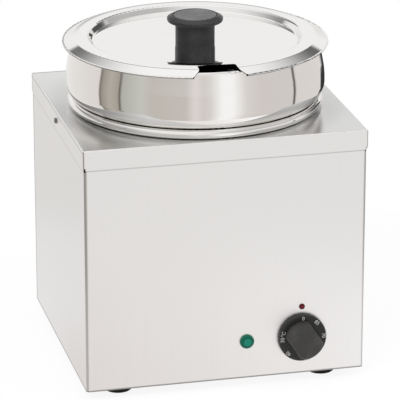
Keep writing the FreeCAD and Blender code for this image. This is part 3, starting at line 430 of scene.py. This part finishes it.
def lid_dish(finish):
    """The share of its rise that the lid's disc has by a radius, even from the knob to a faint ring."""
    x, y, _ = finish.axes(finish.place())
    return finish.node("ShaderNodeMapRange", {}, {
        "Value": finish.distance(x, y), "From Min": DISH_FROM, "From Max": DISH_TO})


def rear_rim(finish):
    """The outer bend of the lid's rim at the back, which takes painted shade, darker than the flat."""
    x, y, _ = finish.axes(finish.place())
    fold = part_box("lid")[1].x - RIM_SLOPE
    radius = finish.distance(x, y)
    bend = finish.between(radius, fold - 4.0 * MM, fold - 2.0 * MM)
    bend = bend * finish.between(radius, fold + 1.5 * MM, fold + 0.5 * MM)
    return bend * finish.between(y, 20.0 * MM, 80.0 * MM)


def lid_hem(finish):
    """The lower half of the lid's rolled edge, which takes painted shade."""
    x, y, _ = finish.axes(finish.place())
    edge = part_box("lid")[1].x
    outside = finish.between(finish.distance(x, y), edge - 1.4 * MM, edge - 0.9 * MM)
    return outside * finish.between(finish.facing()[2], 0.4, 0.1)


def notch_edge(finish):
    """The upright cut faces of the lid's notch, which take painted shade."""
    x, y, _ = finish.axes(finish.place())
    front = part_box("lid")[0].y
    upright = finish.between(abs(finish.facing()[2]), 0.3, 0.15)
    near = finish.between(y, front + NOTCH_REACH, front + NOTCH_REACH - 4.0 * MM)
    return upright * near * finish.between(abs(x - NOTCH_X), NOTCH_HALF, NOTCH_HALF - 2.0 * MM)


def moulded_plastic(name, colour, roughness, skirt=None):
    """Dark moulded plastic with a fine spark-eroded grain and rubbed patches, deeper on a dial's skirt."""
    finish = Finish(name, Specular_IOR_Level=0.35)
    grains = finish.noise(finish.place(), SPARK_GRAIN, 2.0)
    lightening = finish.noise(finish.place(), 55.0, 3.0)
    light = tuple(min(1.0, c * 1.5 + 0.006) for c in colour)
    tint = finish.blend(finish.between(lightening, 0.35, 0.75), solid(*colour), solid(*light))
    if skirt is not None:
        behind = finish.between(finish.axes(finish.place())[1], skirt - 1.5 * MM, skirt - 0.2 * MM)
        tint = finish.blend(behind, tint, solid(*(c * SKIRT_TONE for c in colour)))
    finish.set("Base Color", tint)
    finish.set("Roughness", roughness + 0.14 * (grains - 0.5) - 0.10 * finish.between(lightening, 0.45, 0.8))
    finish.bump(grains, 0.12, SPARK_DEPTH)
    return finish.material


def rubber(name, colour):
    """Matt rubber with a film of dust."""
    finish = Finish(name, Specular_IOR_Level=0.2)
    dust = finish.noise(finish.place(), 160.0, 4.0, 0.65)
    dusty = tuple(c * 2.2 + 0.012 for c in colour)
    finish.set("Base Color", finish.blend(finish.between(dust, 0.45, 0.8), solid(*colour), solid(*dusty)))
    finish.set("Roughness", 0.72 + 0.2 * (dust - 0.5))
    finish.bump(finish.noise(finish.place(), 1500.0, 2.0), 0.2, 0.3 * MM)
    return finish.material


def turned_metal(name, colour, roughness):
    """A small metal part: machined or plated, with spots of wear."""
    finish = Finish(name, Metallic=1.0)
    wear = finish.noise(finish.place(), 220.0, 4.0, 0.6)
    dull = tuple(c * 0.72 for c in colour)
    finish.set("Base Color", finish.blend(finish.between(wear, 0.35, 0.75), solid(*colour), solid(*dull)))
    finish.set("Roughness", roughness + 0.2 * (wear - 0.5))
    finish.bump(finish.noise(finish.place(), 2600.0, 2.0), 0.08, 0.2 * MM)
    return finish.material


def tinted_lens(name, rim, core, node, radius):
    """A clear tinted lens over a lamp: a lighter ribbed core inside a groove of painted shade and a deep
    rim, with painted shading across the ribs.
    """
    finish = Finish(name, Roughness=0.28, Specular_IOR_Level=0.25)
    middle = node_middle(node)
    x, _, z = finish.axes(finish.stretched((1, 1, 1), shift=tuple(-c for c in middle)))
    out = finish.distance(x, z) / radius
    sparkle = finish.noise(finish.place(), 900.0, 2.0)
    ribs = finish.node("ShaderNodeMath", {"operation": "SINE"}, {0: out * LENS_RIBS})
    groove = finish.between(abs(out - LENS_GROOVE), 0.09, 0.02)
    share = finish.between(out + 0.14 * (sparkle - 0.5), 0.50, 0.66)
    colour = finish.blend(share, solid(*core), solid(*rim))
    dark = tuple(0.35 * c for c in rim)
    # Painted shade in a ring for the groove, and painted shading across the ribs
    colour = finish.blend(groove + 0.12 * ribs * (1 - share), colour, solid(*dark))
    finish.set("Base Color", colour)
    finish.set("Emission Color", colour)
    finish.set("Emission Strength", LENS_GLOW)
    finish.bump(ribs * (1 - share), 0.15, 0.3 * MM)
    return finish.material


def insulation(name, colour):
    """Drawn plastic sleeve on a wire, with a slight sheen along it."""
    finish = Finish(name)
    mottle = finish.noise(finish.place(), 300.0, 3.0)
    deep = tuple(c * 0.8 for c in colour)
    finish.set("Base Color", finish.blend(mottle, solid(*colour), solid(*deep)))
    finish.set("Roughness", 0.35 + 0.2 * (mottle - 0.5))
    return finish.material


def printed_white(name):
    """Pad-printed numbers, slightly worn."""
    finish = Finish(name, Roughness=0.5)
    worn = finish.noise(finish.place(), 1400.0, 3.0)
    finish.set("Base Color", finish.blend(finish.between(worn, 0.5, 0.85), grey(0.62), grey(0.34)))
    return finish.material


def node_middle(node):
    low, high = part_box(node)
    return (low + high) / 2


def finishes():
    """A material for each slot of the record."""
    return {
        "casing_steel": casing_sheet("casing satin"),
        "cover_steel": cover_sheet("cover satin"),
        "polished_steel": polished_sheet("polished steel"),
        "fastener_steel": turned_metal("plated screws", (0.55, 0.55, 0.56), 0.32),
        "heater_steel": turned_metal("heater steel", (0.30, 0.29, 0.28), 0.45),
        "spreader_aluminium": turned_metal("milled aluminium", (0.75, 0.76, 0.77), 0.35),
        "copper": turned_metal("drawn copper", (0.72, 0.36, 0.24), 0.3),
        "brass": turned_metal("turned brass", (0.78, 0.60, 0.28), 0.3),
        "foot_rubber": rubber("foot rubber", (0.010, 0.010, 0.010)),
        "knob_plastic": moulded_plastic("knob plastic", (0.020, 0.020, 0.021), 0.38),
        "dial_plastic": moulded_plastic("dial plastic", (0.036, 0.035, 0.034), 0.45, skirt=dial_face().y),
        "gland_plastic": moulded_plastic("gland plastic", (0.018, 0.018, 0.018), 0.5),
        "control_plastic": moulded_plastic("control plastic", (0.045, 0.045, 0.047), 0.5),
        "terminal_plastic": moulded_plastic("terminal plastic", (0.55, 0.54, 0.50), 0.5),
        "green_lens": tinted_lens("green lens", (0.0, 0.115, 0.07), (0.002, 0.20, 0.135),
                                  "pilot_lens", PILOT_LENS_R),
        "red_lens": tinted_lens("red lens", (0.07, 0.003, 0.006), (0.13, 0.006, 0.012),
                                "index_lens", INDEX_LENS_R),
        "brown_insulation": insulation("brown sleeve", (0.16, 0.075, 0.035)),
        "blue_insulation": insulation("blue sleeve", (0.04, 0.12, 0.36)),
        "earth_insulation": insulation("earth sleeve", (0.22, 0.36, 0.04)),
    }


def own_finishes():
    """Nodes whose finish differs from the rest of their slot."""
    return {
        "lid": polished_sheet("polished lid", is_lid=True),
        "cover_screws": turned_metal("lip screws", (0.24, 0.235, 0.23), 0.42),
        "lid_knob_disc": moulded_plastic("knob disc", (0.042, 0.042, 0.044), 0.24),
    }


def dress_nodes(looks):
    """Give every node of the frame the finish of its slot."""
    for part in frame["record"]["subparts"]:
        mesh = frame["nodes"][part["node"]].data
        mesh.materials.clear()
        mesh.materials.append(looks[part["material_slot"]])
    for node, material in own_finishes().items():
        frame["nodes"][node].data.materials[0] = material


def piece(name, shape, material, body):
    """A new piece from a bmesh, riding on a body."""
    mesh = bpy.data.meshes.new(name)
    shape.to_mesh(mesh)
    shape.free()
    mesh.materials.append(material)
    made = bpy.data.objects.new(name, mesh)
    bpy.context.scene.collection.objects.link(made)
    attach(made, body)


def lettering(text, height, thickness):
    """A flat word as a bmesh in the xy plane, centred on the origin, its front towards +z."""
    curve = bpy.data.curves.new("word", "FONT")
    curve.body = text
    curve.align_x = "CENTER"
    curve.align_y = "CENTER"
    curve.size = height / CAPITAL_SHARE
    curve.extrude = thickness / 2
    holder = bpy.data.objects.new("word", curve)
    bpy.context.scene.collection.objects.link(holder)
    bpy.context.view_layer.update()
    mesh = bpy.data.meshes.new_from_object(holder)
    shape = bmesh.new()
    shape.from_mesh(mesh)
    bpy.data.objects.remove(holder)
    bpy.data.curves.remove(curve)
    bpy.data.meshes.remove(mesh)
    return shape


def dial_face():
    """The point on the dial's axis at the front of its skirt."""
    middle = node_middle("dial_knob")
    return Vector((middle.x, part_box("casing_shell")[0].y - SKIRT_FRONT, middle.z))


def dial_numbers(printed):
    """Plain numbers round the skirt, each upright when it is turned to the top."""
    centre = dial_face()
    upright = Matrix.Rotation(math.radians(90), 4, "X")
    words = dict(NUMBERS)
    words[max(NUMBERS) + DEGREE_TURN] = "°C"
    for turn, text in words.items():
        shape = lettering(text, NUMBER_H, NUMBER_T)
        spin = Matrix.Rotation(math.radians(-turn), 4, "Z")
        place = Matrix.Translation(centre) @ upright @ spin @ Matrix.Translation((0, NUMBER_R, 0))
        bmesh.ops.transform(shape, matrix=place, verts=shape.verts)
        piece(f"dial_number_{round(turn):03d}", shape, printed, "dial")


def background():
    """White to the camera, a studio with darker strips to mirrors, and a plain level for matt surfaces."""
    world = bpy.data.worlds.new("studio")
    bpy.context.scene.world = world
    world.use_nodes = True
    sky = Tree(world.node_tree)
    seen, shown = ray_kinds(sky)
    colour = sky.blend(shown, grey(AMBIENT), studio(sky))
    colour = sky.blend(seen, colour, grey(1.0))
    join(sky.tree, world.node_tree.nodes["Background"].inputs["Color"], colour)


def ray_kinds(tree):
    """Whether a ray comes from the camera, and whether from a mirror or through glass."""
    seen = tree.node("ShaderNodeLightPath", {}, {}, "Is Camera Ray")
    mirrored = tree.node("ShaderNodeLightPath", {}, {}, "Is Glossy Ray")
    through = tree.node("ShaderNodeLightPath", {}, {}, "Is Transmission Ray")
    return seen, tree.larger(mirrored, through)


def studio(sky):
    """The studio as a mirror shows it: strips low down, a dim band above them and a bright ceiling."""
    way = sky.node("ShaderNodeTexCoord", {}, {}, "Generated")
    x, y, z = [sky.node("ShaderNodeSeparateXYZ", {}, {"Vector": way}, i) for i in range(3)]
    turn = sky.node("ShaderNodeMath", {"operation": "ARCTAN2"}, {0: x, 1: 0 - y}) / math.tau + 0.5
    low = sky.ramp(turn, [(place, solid(*tint)) for place, tint in LOW_STRIPS])
    high, dim, ceiling = [sky.ramp(turn, [(place, grey(tone)) for place, tone in stops])
                          for stops in (HORIZON, DIM_BAND, CEILING)]
    colour = sky.blend(sky.between(z, *LOW_END), low, high)
    for tone, left, right, bottom, top in (DOORWAY, PILLAR):
        aside = sky.between(turn, *left) * sky.between(turn, *right)
        level = sky.between(z, *bottom) * sky.between(z, *top)
        colour = sky.blend(aside * level, colour, grey(tone))
    colour = sky.blend(sky.between(z, *DIM_START), colour, dim)
    colour = sky.blend(sky.between(z, *CEILING_START), colour, ceiling)
    return sky.blend(sky.between(z, *ZENITH_START), colour, grey(ZENITH))


def floor():
    """A round pale floor that keeps the shadow: nearly white to the camera and to mirrors."""
    shape = bmesh.new()
    bmesh.ops.create_circle(shape, cap_ends=True, segments=128, radius=FLOOR_R)
    mesh = bpy.data.meshes.new("floor")
    shape.to_mesh(mesh)
    shape.free()
    ground = bpy.data.objects.new("floor", mesh)
    bpy.context.scene.collection.objects.link(ground)
    material = bpy.data.materials.new("pale floor")
    material.use_nodes = True
    tree = Tree(material.node_tree)
    nodes = material.node_tree.nodes
    nodes.remove(nodes["Principled BSDF"])
    seen, shown = ray_kinds(tree)
    place = tree.node("ShaderNodeTexCoord", {}, {}, "Object")
    x, y = [tree.node("ShaderNodeSeparateXYZ", {}, {"Vector": place}, i) for i in range(2)]
    matt = tree.node("ShaderNodeBsdfDiffuse", {}, {"Color": grey(FLOOR_TONE)})
    mirrored = tree.blend(tree.between(x, *FLOOR_SPAN_X), solid(*FLOOR_LEFT), solid(*FLOOR_RIGHT))
    mirrored = tree.blend(tree.between(y, *FLOOR_SPAN_Y), mirrored, solid(*FLOOR_BACK))
    shining = tree.blend(seen, mirrored, grey(1.0))
    glow = tree.node("ShaderNodeEmission", {}, {"Color": shining, "Strength": FLOOR_GLOW})
    share = tree.larger(seen, shown) * FLOOR_GLOW_SHARE
    mixed = tree.node("ShaderNodeMixShader", {}, {0: share, 1: matt, 2: glow})
    join(tree.tree, nodes["Material Output"].inputs["Surface"], mixed)
    mesh.materials.append(material)


def lamp(name, place, size, power):
    """A soft rectangular lamp that mirrors don't show."""
    light = bpy.data.lights.new(name, "AREA")
    light.shape = "RECTANGLE"
    light.size, light.size_y = size
    light.energy = power
    holder = bpy.data.objects.new(name, light)
    bpy.context.scene.collection.objects.link(holder)
    holder.location = place
    holder.rotation_euler = (Vector(LAMP_AIM) - Vector(place)).to_track_quat("-Z", "Y").to_euler()
    holder.visible_glossy = False


def camera():
    """The camera, at the photograph's viewing angle."""
    view = bpy.data.cameras.new("camera")
    view.lens = CAMERA_LENS
    view.sensor_width = CAMERA_SENSOR
    view.clip_end = CAMERA_REACH
    holder = bpy.data.objects.new("camera", view)
    bpy.context.scene.collection.objects.link(holder)
    level = math.cos(CAMERA_ELEVATION)
    back = Vector((math.sin(CAMERA_AZIMUTH) * level, -math.cos(CAMERA_AZIMUTH) * level,
                   math.sin(CAMERA_ELEVATION)))
    holder.location = CAMERA_TARGET + back * CAMERA_DISTANCE
    holder.rotation_euler = (-back).to_track_quat("-Z", "Y").to_euler()
    bpy.context.scene.camera = holder


camera()
dress_nodes(finishes())
dial_numbers(printed_white("printed numbers"))
background()
floor()
for lamp_name, setting in LAMPS.items():
    lamp(lamp_name, *setting)
bpy.context.scene.view_settings.view_transform = "Standard"
